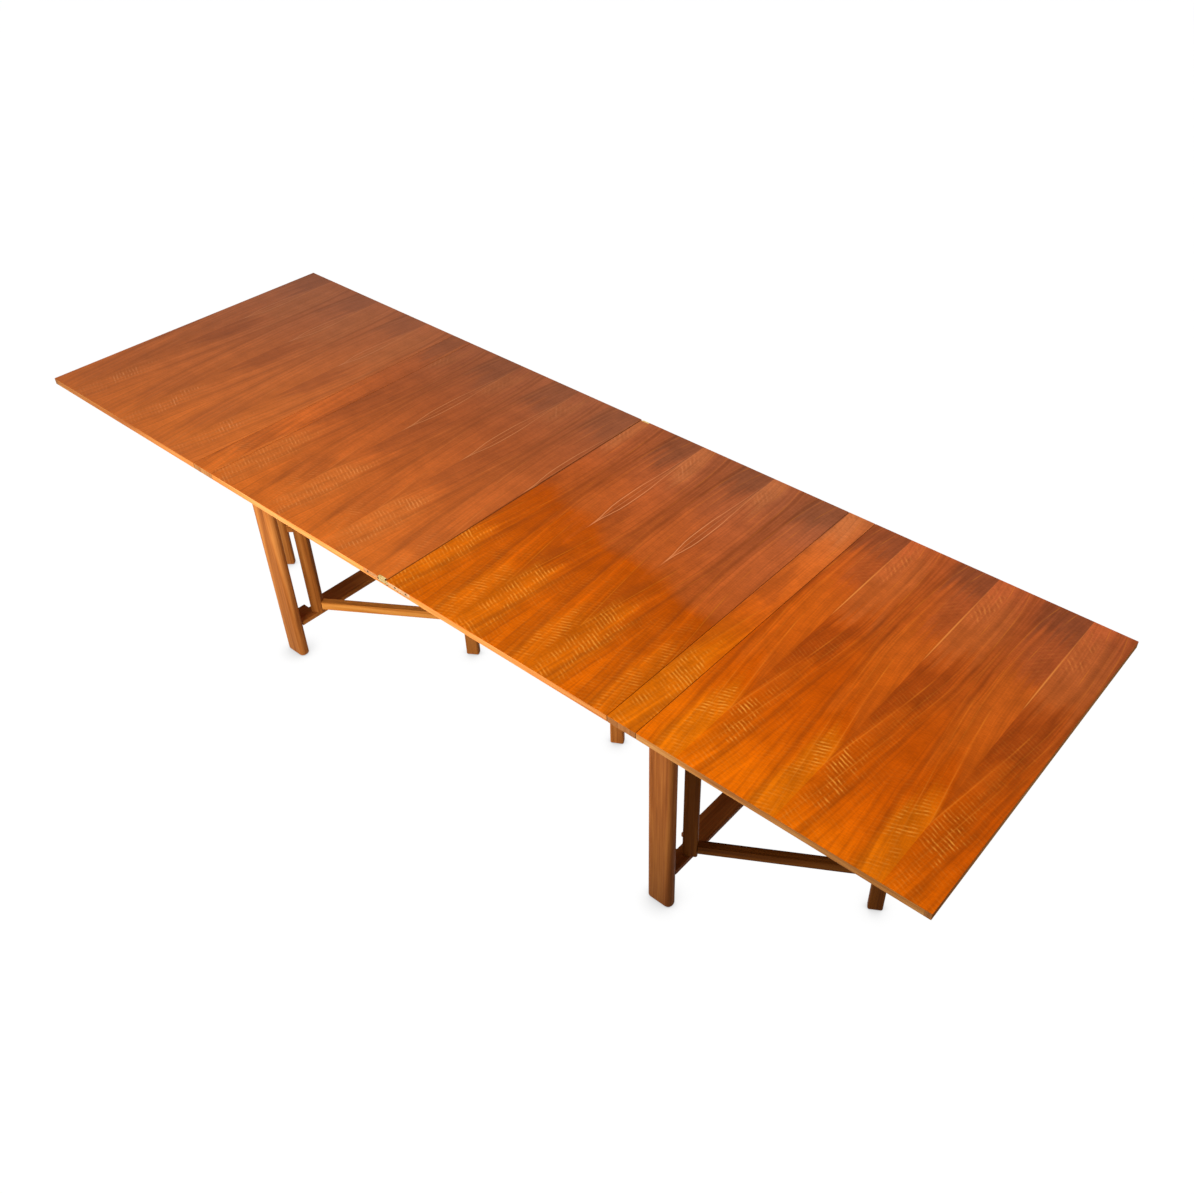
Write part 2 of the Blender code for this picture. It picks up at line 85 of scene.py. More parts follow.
# Angles that tell faces and edges apart
FLAT_ANGLE = math.radians(1.0)  # faces that meet at less than this are one face
SMOOTH_ANGLE = math.radians(32)  # edges flatter than this are shaded smooth
EASED_ANGLE = math.radians(50)  # edges sharper than this are rounded, where a piece has an easing
UPWARD = 0.3  # faces whose normal rises more than this show the veneer
DOWNWARD = -0.8  # faces whose normal falls below this show the backing

# Kinds of nodes used often
MATH = "ShaderNodeMath"
CURVE = "ShaderNodeFloatCurve"
RAMP = "ShaderNodeValToRGB"
RANGE = "ShaderNodeMapRange"
NOISE = "ShaderNodeTexNoise"
VECTOR = "ShaderNodeCombineXYZ"
MAPPING = "ShaderNodeMapping"


# Colours, nodes and objects

def srgb(code):
    """Linear colour of an sRGB hex code."""
    channels = [int(code[i:i + 2], 16) / 255 for i in (1, 3, 5)]
    linear = [c / 12.92 if c <= 0.04045 else ((c + 0.055) / 1.055) ** 2.4 for c in channels]
    return (*linear, 1.0)


def connect(tree, node, inputs):
    """Give a node its inputs: values, sockets, or nodes whose first output is used."""
    for socket, value in inputs.items():
        if isinstance(value, bpy.types.Node):
            value = value.outputs[0]
        if isinstance(value, bpy.types.NodeSocket):
            tree.links.new(value, node.inputs[socket])
        else:
            node.inputs[socket].default_value = value


def add(tree, kind, inputs=None, stops=None, points=None, **settings):
    """Add a node with its settings and inputs.

    Stops fill a colour ramp with (place, sRGB code or grey level), points fill a curve.
    """
    made = tree.nodes.new(kind)
    for name, value in settings.items():
        setattr(made, name, value)
    connect(tree, made, inputs or {})
    if stops:
        band = made.color_ramp.elements
        while len(band) < len(stops):
            band.new(0.5)
        for element, (place, colour) in zip(band, stops):
            element.position = place
            element.color = srgb(colour) if isinstance(colour, str) else (colour, colour, colour, 1.0)
    if points:
        line = made.mapping.curves[0]
        line.points[0].location = points[0]
        line.points[1].location = points[-1]
        for point in points[1:-1]:
            line.points.new(*point)
        for point in line.points:
            point.handle_type = "AUTO_CLAMPED"
        made.mapping.update()
    return made


def new_material(name):
    """A new material with its tree, its shader and the place on the piece in Object coordinates."""
    material = bpy.data.materials.new(name)
    material.use_nodes = True
    tree = material.node_tree
    place = add(tree, "ShaderNodeTexCoord").outputs["Object"]
    return material, tree, tree.nodes["Principled BSDF"], place


def new_object(name, data):
    item = bpy.data.objects.new(name, data)
    bpy.context.scene.collection.objects.link(item)
    return item


# Veneer of the top: what all boards share

LEAN = 0.045  # how far the figure leans towards the joints at the near edge, at half the width of a leaf
LEAF_STEP = 0.06  # how far the noise of the grain moves on from one leaf to the next
SWAY_SCALE = 6.0  # changes per metre of the slow sway of the figure
FLOW_SWAY = 0.008  # strength of the sway of the grain, in metres
TONE_SWAY = 0.12  # of the changes of tone, in widths of the board
PATCH_SWAY = 0.05  # of the sides of patches, in metres
RAGGED = 0.30  # strength of the ragged flames that patches end in, in widths of the board
BOARD_SPAN = 900.0  # far edge to near edge in mm, the scale of the patches
PATCH_END = 40.0  # softness of the ends of a patch in mm
PATCH_SIDE = 14.0  # softness of its side in mm
BAND_SPAN = 0.170  # distance off a joint, in metres, that the growth lines and veins are laid out on
WEDGE = (0.052, 0.060)  # where the dark wedges end, in metres off a joint
WEDGE_START = (0.44, 0.66)  # where they set in and are whole, 0 at the far edge and 1 at the near one
TROUGH = 0.40  # how dark the troughs of the ripples are
SPINDLE = 0.0130  # how far the hair lines open at most, in metres off a joint
VENEER_SHEEN = 0.022

# Curves over a board, from 0 at the far edge to 1 at the near one, those of hair lines at their own pace
LEANING = [
    (0.0, 0.22), (0.055, 0.12), (0.083, 0.08), (0.19, 0.02), (0.30, 0.0), (0.40, 0.06), (0.50, 0.17),
    (0.60, 0.31), (0.70, 0.47), (0.80, 0.63), (0.90, 0.80), (1.0, 0.97)]
HAIR_OPENING = [
    (0.0, 0.12), (0.10, 0.30), (0.22, 0.70), (0.33, 1.0), (0.42, 0.60), (0.525, 0.0), (1.0, 0.0)]
HAIR_STRENGTH = [
    (0.0, 0.0), (0.10, 0.20), (0.22, 0.50), (0.36, 0.85), (0.47, 0.75), (0.535, 0.0), (1.0, 0.0)]

# How strongly the crests of the ripples shine, by their height
RIPPLE_SHINE = [(0.0, 0.0), (0.2, 0.10), (0.5, 0.36), (1.0, 0.80)]

# Growth lines and pale veins, from 0 at a joint to 1 at BAND_SPAN
GROWTH_LINES = [
    (0.0, 0.0), (0.115, 0.05), (0.13, 0.35), (0.145, 0.05), (0.40, 0.05), (0.425, 0.5), (0.445, 0.1),
    (0.485, 0.1), (0.50, 0.65), (0.52, 0.15), (0.545, 0.2), (0.575, 1.0), (0.602, 1.0), (0.625, 0.3),
    (0.64, 0.35), (0.653, 0.8), (0.67, 0.25), (0.715, 0.2), (0.735, 0.85), (0.755, 0.15), (0.80, 0.15),
    (0.82, 0.75), (0.84, 0.15), (0.90, 0.6), (0.95, 0.1), (1.0, 0.4)]
PALE_VEINS = [
    (0.0, 0.0), (0.328, 0.0), (0.341, 1.0), (0.354, 0.0), (0.455, 0.0), (0.465, 0.5), (0.476, 0.0),
    (0.562, 0.0), (0.574, 0.8), (0.586, 0.0), (0.66, 0.0), (0.67, 0.5), (0.68, 0.0), (1.0, 0.0)]

# Slow bands and fine streaks: changes per metre across the grain, changes from the far edge to the near
# one, detail, and how much they change the brightness
STREAKS = ((26.0, 0.9, 1.0, 0.18), (80.0, 1.6, 2.0, 0.16), (300.0, 4.0, 4.0, 0.19))
CLOUDS = 0.13  # how much the soft cloudiness changes it
FLECKS = 0.12  # how much the short flecks across the grain change it
FLECK_SCALE = (85.0, 330.0, 1.0)  # flecks about 12 mm long and 3 mm wide

# Groups of short strokes that the ripples come in: changes per metre across and along the grain, where a
# group sets in and is whole, and what is left of the ripples between groups
RIPPLE_GROUPS = ((34.0, 26.0, 0.36, 0.57, 0.10), (75.0, 60.0, 0.34, 0.57, 0.2))


# Veneer of the top: its figure

def along_grain(at, wide, long, detail, roughness=0.5):
    """Grain drawn out along its flow, another in each leaf of veneer.

    wide is its changes per metre across the grain, long those from the far edge to the near one.
    """
    place = add(at.tree, VECTOR, {
        0: add(at.tree, MATH, {0: at.flow, 1: wide}, operation="MULTIPLY"),
        1: add(at.tree, MATH, {0: at.across, 1: long}, operation="MULTIPLY"), 2: at.depth})
    return add(at.tree, NOISE, {"Vector": place, "Scale": 1.0, "Detail": detail, "Roughness": roughness})


def veneer_places(tree, place, joint, leaf, seed):
    """Where a point of a board lies in its veneer, as sockets and nodes that the figure is drawn on."""
    at = SimpleNamespace(tree=tree)
    apart = add(tree, "ShaderNodeSeparateXYZ", {0: place})
    at.x, at.y = apart.outputs["X"], apart.outputs["Y"]
    at.across = add(tree, RANGE, {0: at.y, 1: HALF_WIDTH, 2: -HALF_WIDTH})  # 0 far, 1 near
    at.along = add(tree, MATH, {0: at.x, 1: joint}, operation="SUBTRACT")
    at.gap = add(tree, MATH, {0: at.along, 1: leaf}, operation="PINGPONG")  # off the joints
    leaves = add(tree, MATH, {0: at.along, 1: leaf}, operation="DIVIDE")
    count = add(tree, MATH, {0: leaves}, operation="FLOOR")
    on_left = add(tree, MATH, {0: count, 1: 2.0}, operation="FLOORED_MODULO")
    at.sides = {"left": on_left, "right": add(tree, MATH, {0: 1.0, 1: on_left}, operation="SUBTRACT")}
    at.spot = add(tree, VECTOR, {0: at.along, 1: at.y, 2: seed})
    at.depth = add(tree, MATH, {0: count, 1: LEAF_STEP, 2: seed}, operation="MULTIPLY_ADD")
    sway = add(tree, NOISE, {"Vector": at.spot, "Scale": SWAY_SCALE, "Detail": 2.0})
    sway = add(tree, MATH, {0: sway, 1: 0.5}, operation="SUBTRACT")
    # The flow of the grain and the straighter rays both lean towards the joints
    lean = add(tree, CURVE, {1: at.across}, points=LEANING)
    pull = add(tree, MATH, {0: at.gap, 1: -0.9 * LEAN / leaf, 2: 1.5 * LEAN}, operation="MULTIPLY_ADD")
    flow = add(tree, MATH, {0: lean, 1: pull, 2: at.gap}, operation="MULTIPLY_ADD")
    at.flow = add(tree, MATH, {0: sway, 1: FLOW_SWAY, 2: flow}, operation="MULTIPLY_ADD")
    at.rays = add(tree, MATH, {0: lean, 1: 2.0 * LEAN, 2: at.gap}, operation="MULTIPLY_ADD")
    # Changes of tone sway a little, and patches of tone end in ragged flames along the grain
    at.swaying = add(tree, MATH, {0: sway, 1: TONE_SWAY, 2: at.across}, operation="MULTIPLY_ADD")
    ragged = along_grain(at, 60.0, 1.0, 3.0)
    ragged = add(tree, MATH, {0: ragged, 1: 0.5}, operation="SUBTRACT")
    at.edge = add(tree, MATH, {0: ragged, 1: RAGGED, 2: at.swaying}, operation="MULTIPLY_ADD")
    at.off = add(tree, MATH, {0: sway, 1: PATCH_SWAY, 2: at.gap}, operation="MULTIPLY_ADD")
    return at


def beside_joint(at, side, start, end, reach, amount):
    """Soft patch beside the joints: start to end in mm from the far edge, reach in mm off the joint."""
    mask = add(at.tree, RANGE, {
        0: at.edge, 1: (start - PATCH_END) / BOARD_SPAN, 2: (start + PATCH_END) / BOARD_SPAN},
        interpolation_type="SMOOTHSTEP")
    near_end = add(at.tree, RANGE, {
        0: at.edge, 1: (end - PATCH_END) / BOARD_SPAN, 2: (end + PATCH_END) / BOARD_SPAN, 3: 1.0, 4: 0.0},
        interpolation_type="SMOOTHSTEP")
    outward = add(at.tree, RANGE, {
        0: at.off, 1: (reach - PATCH_SIDE) / 1000, 2: (reach + PATCH_SIDE) / 1000, 3: amount, 4: 0.0},
        interpolation_type="SMOOTHSTEP")
    for limit in (near_end, outward, at.sides[side]):
        mask = add(at.tree, MATH, {0: mask, 1: limit}, operation="MULTIPLY")
    return mask


def grain_shade(at, swing):
    """Brightness of the bands, streaks, clouds and flecks, and the finest streaks by themselves."""
    patterns = []
    for wide, long, detail, part in STREAKS:
        streaks = along_grain(at, wide, long, detail, roughness=0.6)
        patterns.append((streaks, 0.25, 0.75, part))
    cloud = add(at.tree, NOISE, {"Vector": at.spot, "Scale": 22.0, "Detail": 4.0})
    fleck = add(at.tree, MAPPING, {"Vector": at.spot, "Scale": FLECK_SCALE})
    fleck = add(at.tree, NOISE, {"Vector": fleck, "Scale": 1.0, "Detail": 2.0})
    patterns += [(cloud, 0.3, 0.7, CLOUDS), (fleck, 0.3, 0.7, FLECKS)]
    shade = None
    for pattern, low, high, part in patterns:
        level = add(at.tree, RANGE, {
            0: pattern, 1: low, 2: high, 3: 1.0 - part * swing, 4: 1.0 + part * swing})
        shade = level if shade is None else add(at.tree, MATH, {0: shade, 1: level}, operation="MULTIPLY")
    return shade, streaks


def growth_lines(at, broken, figure):
    """Dark lines at the same places in every leaf, as in slices cut one after another.

    A dark wedge that closes on each joint lies with them.
    """
    band = add(at.tree, MATH, {0: at.flow, 1: BAND_SPAN}, operation="DIVIDE")
    lines = add(at.tree, RAMP, {0: band}, stops=GROWTH_LINES)
    # They are broken up along the grain, and a little weaker towards the near edge
    whole = add(at.tree, RANGE, {0: broken, 1: 0.32, 2: 0.68, 3: 0.25, 4: figure["line_depth"]})
    weaker = add(at.tree, RANGE, {0: at.across, 1: 0.5, 2: 0.75, 3: 1.0, 4: 0.8})
    for level in (whole, weaker):
        lines = add(at.tree, MATH, {0: lines, 1: level}, operation="MULTIPLY")
    wedge = add(at.tree, RANGE, {0: at.rays, 1: WEDGE[0], 2: WEDGE[1], 3: figure["wedge"], 4: 0.0})
    start = add(at.tree, RANGE, {0: at.edge, 1: WEDGE_START[0], 2: WEDGE_START[1]},
                interpolation_type="SMOOTHSTEP")
    wedge = add(at.tree, MATH, {0: wedge, 1: start}, operation="MULTIPLY")
    return add(at.tree, MATH, {0: lines, 1: wedge}, operation="MAXIMUM")


def pale_veins(at, broken):
    """Pale veins that close in on the joints."""
    band = add(at.tree, MATH, {0: at.rays, 1: BAND_SPAN}, operation="DIVIDE")
    veins = add(at.tree, RAMP, {0: band}, stops=PALE_VEINS)
    level = add(at.tree, RANGE, {0: broken, 1: 0.60, 2: 0.34, 3: 0.0, 4: 0.40})
    return add(at.tree, MATH, {0: veins, 1: level}, operation="MULTIPLY")


def hair_lines(at, pace, spindle, hairs):
    """Pale hair lines, a pair beside each joint that opens like a spindle and one on the joint."""
    paced = add(at.tree, MATH, {0: at.across, 1: pace}, operation="MULTIPLY")
    opening = add(at.tree, CURVE, {1: paced}, points=HAIR_OPENING)
    opening = add(at.tree, MATH, {0: opening, 1: SPINDLE * spindle}, operation="MULTIPLY")
    beside = add(at.tree, MATH, {0: opening, 1: at.gap}, operation="SUBTRACT")
    beside = add(at.tree, MATH, {0: beside}, operation="ABSOLUTE")
    pair = add(at.tree, RANGE, {0: beside, 1: 0.0003, 2: 0.0015, 3: 1.0, 4: 0.0})
    single = add(at.tree, RANGE, {0: at.gap, 1: 0.0003, 2: 0.0012, 3: 0.45, 4: 0.0})
    hair = add(at.tree, MATH, {0: pair, 1: single}, operation="MAXIMUM")
    strength = add(at.tree, CURVE, {1: paced}, points=HAIR_STRENGTH)
    # Only the joints inside a board have them
    distance = add(at.tree, MATH, {0: at.along}, operation="ABSOLUTE")
    inside = add(at.tree, RANGE, {0: distance, 1: 0.29, 2: 0.33, 3: hairs, 4: 0.0})
    for level in (strength, inside):
        hair = add(at.tree, MATH, {0: hair, 1: level}, operation="MULTIPLY")
    return hair


def cross_ripples(at, ripples):
    """Waves across the grain that fall away from the joints, below 0 in troughs and above 0 on crests."""
    wobble = add(at.tree, NOISE, {"Vector": at.spot, "Scale": 30.0, "Detail": 2.0})
    ripple = None
    for slope, pitch, places in ripples:
        fall = add(at.tree, MATH, {0: at.gap, 1: slope, 2: at.y}, operation="MULTIPLY_ADD")
        phase = add(at.tree, MATH, {0: fall, 1: math.tau / pitch}, operation="MULTIPLY")
        phase = add(at.tree, MATH, {0: wobble, 1: 5.0, 2: phase}, operation="MULTIPLY_ADD")
        where = None
        for spread in places:
            mask = beside_joint(at, *spread)
            where = mask if where is None else add(at.tree, MATH, {0: where, 1: mask}, operation="MAXIMUM")
        wave = add(at.tree, MATH, {0: phase}, operation="SINE")
        wave = add(at.tree, MATH, {0: wave, 1: where}, operation="MULTIPLY")
        ripple = wave if ripple is None else add(at.tree, MATH, {0: ripple, 1: wave}, operation="ADD")
    levels = []
    for across_grain, with_grain, start, end, least in RIPPLE_GROUPS:
        patchy = add(at.tree, MAPPING, {"Vector": at.spot, "Scale": (across_grain, with_grain, 1.0)})
        patchy = add(at.tree, NOISE, {"Vector": patchy, "Scale": 1.0, "Detail": 2.0})
        levels.append(add(at.tree, RANGE, {0: patchy, 1: start, 2: end, 3: least}))
    # They are weaker on the joints themselves
    levels.append(add(at.tree, RANGE, {0: at.gap, 1: 0.003, 2: 0.012, 3: 0.3}))
    for level in levels:
        ripple = add(at.tree, MATH, {0: ripple, 1: level}, operation="MULTIPLY")
    return ripple


def teak_veneer(name, joint, leaf, tones, figure, seed, tilt=0.0, spindle=1.0, hairs=1.0, painted_seam_shade=0.0):
    """Book-matched teak veneer under a thin satin lacquer.

    It gives the eye long flames that meet in pairs at the joints of the veneer, leaves that look
    dark or pale in turn, dark growth lines that spread towards the near edge, pale hair lines at
    the joints, and cross ripples that shimmer. joint is the X of one joint between two leaves of
    veneer and leaf is their width. The tones from the far edge to the near one are partly the
    wood's own and partly painted light: the far part is darker and paler as painted reflection and
    shade. tilt slants that change, spindle opens the pair of hair lines, hairs is how strong they
    are, and the last setting darkens the wood at the middle of the table as painted shade of the gap.
    """
    material, tree, shader, place = new_material(name)
    at = veneer_places(tree, place, joint, leaf, seed)
    shade, pores = grain_shade(at, figure["contrast"])
    broken = along_grain(at, 60.0, 7.0, 3.0)
    lines = growth_lines(at, broken, figure)
    veins = pale_veins(at, broken)
    hair = hair_lines(at, figure["hair_pace"], spindle, hairs)
    ripple = cross_ripples(at, figure["ripples"])
    trough = add(tree, RANGE, {0: ripple, 1: 0.0, 2: -1.0, 3: 0.0, 4: TROUGH})
    lines = add(tree, MATH, {0: lines, 1: trough}, operation="MAXIMUM")
    crest = add(tree, CURVE, {1: ripple}, points=RIPPLE_SHINE)

    # The tone runs from brown at the far edge to orange at the near one, the figure lies over it.
    # The ramp is partly the wood's own tone and partly painted light: painted reflection and shade
    # leave the far part darker and paler, with a soft edge that the tilt slants.
    slant = add(tree, MATH, {0: at.along, 1: -tilt, 2: at.swaying if tilt else at.across},
                operation="MULTIPLY_ADD")
    colour = add(tree, RAMP, {0: slant}, stops=tones).outputs[0]
    for side, start, end, reach, tone, amount in figure["patches"]:
        patch = beside_joint(at, side, start, end, reach, amount)
        tint = srgb(tone)
        colour = add(tree, "ShaderNodeMix", {0: patch, 6: colour, 7: tint}, data_type="RGBA").outputs[2]
    colour = add(tree, "ShaderNodeVectorMath", {0: colour, 3: shade}, operation="SCALE").outputs[0]
    # Ripples shine in the tone of the hair lines at the far edge and in their own at the near one
    shine = add(tree, RAMP, {0: at.across}, stops=[(0.2, figure["hair"]), (0.6, figure["ripple"])])
    over = [(lines, srgb(figure["line"])), (veins, srgb(figure["vein"])), (hair, srgb(figure["hair"])),
            (crest, shine)]
    # Painted shade of the gap at the middle joint: the wood beside it is darkened
    if painted_seam_shade:
        middle = add(tree, MATH, {0: at.x}, operation="ABSOLUTE")
        middle = add(tree, RANGE, {0: middle, 1: 0.0016, 2: 0.0040, 3: painted_seam_shade, 4: 0.0})
        over.append((middle, srgb(figure["painted_seam_shade"])))
    for amount, tint in over:
        colour = add(tree, "ShaderNodeMix", {0: amount, 6: colour, 7: tint}, data_type="RGBA").outputs[2]
    # The pores of the grain, far finer than a pixel, only just break the shine
    connect(tree, shader, {
        "Base Color": colour, "Specular IOR Level": VENEER_SHEEN,
        "Roughness": add(tree, RANGE, {0: pores, 1: 0.3, 2: 0.7, 3: 0.30, 4: 0.40}),
        "Normal": add(tree, "ShaderNodeBump", {"Strength": 0.10, "Distance": 0.0004, "Height": pores})})
    return material


# Solid teak and metal

ALONG, ACROSS, UPRIGHT = range(3)  # the axis that the grain of solid teak runs along
FINE_ACROSS, FINE_ALONG = 170.0, 5.0  # changes per metre of the fine lines, about 6 by 200 mm
BROAD_ACROSS, BROAD_ALONG = 32.0, 1.6  # of the slow changes of tone, about 30 by 600 mm
WOOD_STOPS = (0.34, 0.50, 0.66)  # where the dark, middle and pale tone of a wood lie in its grain
METAL_STOPS = (0.36, 0.50, 0.66)
FOOT_SPAN = 0.7  # height in metres over which the painted falloff of light on the legs goes from dark to pale


def solid_teak(name, codes, axis, turn=0.0, rough=0.45, painted_falloff=0.0, sheen=0.02):
    """Planed and oiled solid teak with straight grain along one axis after a turn about Z.

    It gives the eye fine darker lines along the piece, slow changes of tone and a low sheen. Its
    falloff setting paints shade towards the floor and light as much towards the top. sheen is its
    specular level.
    """
    material, tree, shader, place = new_material(name)
    turned = add(tree, MAPPING, {"Vector": place, "Rotation": (0.0, 0.0, turn)})
    fine, broad = [FINE_ACROSS] * 3, [BROAD_ACROSS] * 3
    fine[axis], broad[axis] = FINE_ALONG, BROAD_ALONG
    grain = add(tree, MAPPING, {"Vector": turned, "Scale": fine})
    grain = add(tree, NOISE, {"Vector": grain, "Scale": 1.0, "Detail": 5.0, "Roughness": 0.6})
    bands = add(tree, MAPPING, {"Vector": turned, "Scale": broad})
    bands = add(tree, NOISE, {"Vector": bands, "Scale": 1.0, "Detail": 3.0, "Distortion": 0.6})
    tone = add(tree, MATH, {
        0: add(tree, MATH, {0: grain, 1: 0.45}, operation="MULTIPLY"),
        1: add(tree, MATH, {0: bands, 1: 0.55}, operation="MULTIPLY")}, operation="ADD")
    colour = add(tree, RAMP, {0: tone}, stops=list(zip(WOOD_STOPS, codes))).outputs[0]
    # Painted falloff of light: darker towards the floor, as much lighter towards the top
    if painted_falloff:
        height = add(tree, "ShaderNodeSeparateXYZ", {0: turned}).outputs["Z"]
        level = add(tree, RANGE, {0: height, 1: 0.0, 2: FOOT_SPAN, 3: 1.0 - painted_falloff, 4: 1.0 + painted_falloff})
        colour = add(tree, "ShaderNodeVectorMath", {0: colour, 3: level}, operation="SCALE").outputs[0]
    connect(tree, shader, {
        "Base Color": colour, "Specular IOR Level": sheen,
        "Roughness": add(tree, RANGE, {0: grain, 1: 0.3, 2: 0.7, 3: rough - 0.06, 4: rough + 0.08}),
        "Normal": add(tree, "ShaderNodeBump", {"Strength": 0.18, "Distance": 0.0005, "Height": grain})})
    return material


def worn_metal(name, codes, rough):
    """Plain sheet metal worn by handling: brushed one way, duller and darker in patches."""
    material, tree, shader, place = new_material(name)
    # Brush marks are drawn at 0.6 mm, coarser than real, so that they show
    brushed = add(tree, MAPPING, {"Vector": place, "Scale": (60.0, 60.0, 1600.0)})
    brushed = add(tree, NOISE, {"Vector": brushed, "Scale": 1.0, "Detail": 3.0})
    spots = add(tree, NOISE, {"Vector": place, "Scale": 420.0, "Detail": 3.0})
    mixed = add(tree, MATH, {
        0: add(tree, MATH, {0: spots, 1: 0.7}, operation="MULTIPLY"),
        1: add(tree, MATH, {0: brushed, 1: 0.3}, operation="MULTIPLY")}, operation="ADD")
    connect(tree, shader, {
        "Base Color": add(tree, RAMP, {0: mixed}, stops=list(zip(METAL_STOPS, codes))), "Metallic": 1.0,
        "Roughness": add(tree, RANGE, {0: mixed, 1: 0.3, 2: 0.7, 3: rough + 0.12, 4: rough - 0.06}),
        "Normal": add(tree, "ShaderNodeBump", {"Strength": 0.15, "Distance": 0.0002, "Height": brushed})})
    return material


# Figure of the veneer. Patches: side of the joint, far and near end and reach in mm, tone, amount.
# Ripples: slope, pitch in metres, then patches without a tone.
RIGHT_END_FIGURE = {
    "contrast": 0.8, "line_depth": 0.58, "wedge": 0.34, "hair_pace": 1.3,
    "line": "#74300A", "hair": "#EE9042", "vein": "#F08C28", "ripple": "#FFAC42",
    "patches": [
        ("left", -120, 105, 108, "#7C4228", 0.66), ("left", 105, 250, 62, "#9C4A26", 0.42),
        ("left", 280, 600, 92, "#D0661A", 0.35), ("left", 690, 1020, 62, "#EC8208", 0.40),
        ("right", -120, 170, 44, "#DA6C38", 0.50), ("right", 60, 310, 96, "#BC642E", 0.42),
        ("right", 345, 540, 80, "#8C380C", 0.58), ("right", 545, 650, 62, "#B65614", 0.35),
        ("right", 665, 810, 70, "#B85206", 0.35)],
    "ripples": [
        (0.40, 0.0100, [
            ("left", 705, 785, 58, 0.95), ("right", 695, 785, 68, 0.95), ("right", 420, 640, 84, 0.20),
            ("left", 790, 1020, 58, 0.38), ("right", 800, 1020, 66, 0.36), ("right", 645, 700, 62, 0.50),
            ("left", 640, 1020, 120, 0.16), ("right", 640, 1020, 120, 0.16)]),
        (1.1, 0.0170, [("right", 40, 160, 42, 0.60), ("left", 90, 235, 60, 0.22)])]}
RIGHT_MIDDLE_FIGURE = {
    "contrast": 0.8, "line_depth": 0.50, "wedge": 0.28, "hair_pace": 1.0, "painted_seam_shade": "#5E2606",
    "line": "#74340E", "hair": "#F09A62", "vein": "#EC8820", "ripple": "#FFAC42",
    "patches": [
        ("left", -120, 110, 100, "#74442C", 0.55), ("left", 250, 480, 90, "#C05E24", 0.25),
        ("left", 700, 1020, 66, "#DE7408", 0.30), ("right", -120, 150, 50, "#C87440", 0.45),
        ("right", 325, 420, 46, "#8C4018", 0.42), ("right", 480, 620, 70, "#A84A08", 0.30),
        ("right", 640, 1020, 84, "#DE7A0C", 0.25)],
    "ripples": [
        (0.40, 0.0100, [
            ("right", 630, 800, 76, 0.74), ("right", 800, 1020, 80, 0.62), ("left", 700, 870, 62, 0.56),
            ("left", 870, 1020, 58, 0.46), ("left", 600, 1020, 120, 0.24),
            ("right", 600, 1020, 120, 0.24)]),
        (1.1, 0.0170, [("right", 40, 130, 40, 0.40)])]}
LEFT_MIDDLE_FIGURE = {
    "contrast": 0.65, "line_depth": 0.40, "wedge": 0.18, "hair_pace": 1.0, "painted_seam_shade": "#6A2E0E",
    "line": "#7A3E1C", "hair": "#D48854", "vein": "#DA8440", "ripple": "#F0A058",
    "patches": [
        ("left", -120, 130, 105, "#7A4A32", 0.40), ("left", 650, 800, 84, "#A04E20", 0.40),
        ("right", 40, 140, 60, "#B4683A", 0.35), ("right", 330, 560, 82, "#8E4622", 0.38),
        ("right", 640, 900, 92, "#D67430", 0.40)],
    "ripples": [
        (0.40, 0.0100, [
            ("right", 640, 770, 80, 0.62), ("right", 770, 920, 84, 0.52), ("left", 720, 880, 50, 0.34),
            ("left", 640, 900, 120, 0.14), ("right", 640, 900, 120, 0.14)]),
        (1.1, 0.0170, [("right", 50, 130, 40, 0.35)])]}
LEFT_END_FIGURE = {
    "contrast": 0.55, "line_depth": 0.36, "wedge": 0.10, "hair_pace": 1.3,
    "line": "#7A3E20", "hair": "#CE8456", "vein": "#D28650", "ripple": "#F0A86A",
    "patches": [
        ("left", -120, 120, 100, "#7E4A34", 0.38), ("right", 60, 300, 96, "#B0683C", 0.28),
        ("right", 340, 560, 60, "#8E4626", 0.38), ("left", 640, 800, 84, "#A4542A", 0.30)],
    "ripples": [(0.40, 0.0100, [("right", 705, 790, 60, 0.58), ("right", 790, 900, 60, 0.26)])]}

# Tones from the far edge to the near one, a board each: partly the wood's own tone and partly
# painted light, the far part darker and paler as painted reflection and shade
LEFT_END = [(0.0, "#AE6440"), (0.35, "#B46236"), (0.62, "#C86A32"), (1.0, "#D6702C")]
LEFT_STRIP = [(0.0, "#A45A36"), (0.33, "#B65C2C"), (0.65, "#DE6E2A"), (1.0, "#E07226")]
LEFT_MIDDLE = [(0.0, "#A25A38"), (0.33, "#AA562A"), (0.65, "#C86428"), (1.0, "#DE7024")]
RIGHT_MIDDLE = [
    (0.0, "#A45834"), (0.26, "#B2582A"), (0.46, "#B8561C"), (0.51, "#BE5000"), (0.94, "#D26000")]
RIGHT_STRIP = [
    (0.0, "#C06836"), (0.25, "#CC6424"), (0.52, "#D46010"), (0.62, "#DA6600"), (1.0, "#E26C00")]
RIGHT_END = [
    (0.0, "#B85A2E"), (0.25, "#BE581E"), (0.5, "#C8560A"), (0.62, "#CA5402"), (0.77, "#D45A00"),
    (0.876, "#DE6200"), (0.97, "#F07000")]
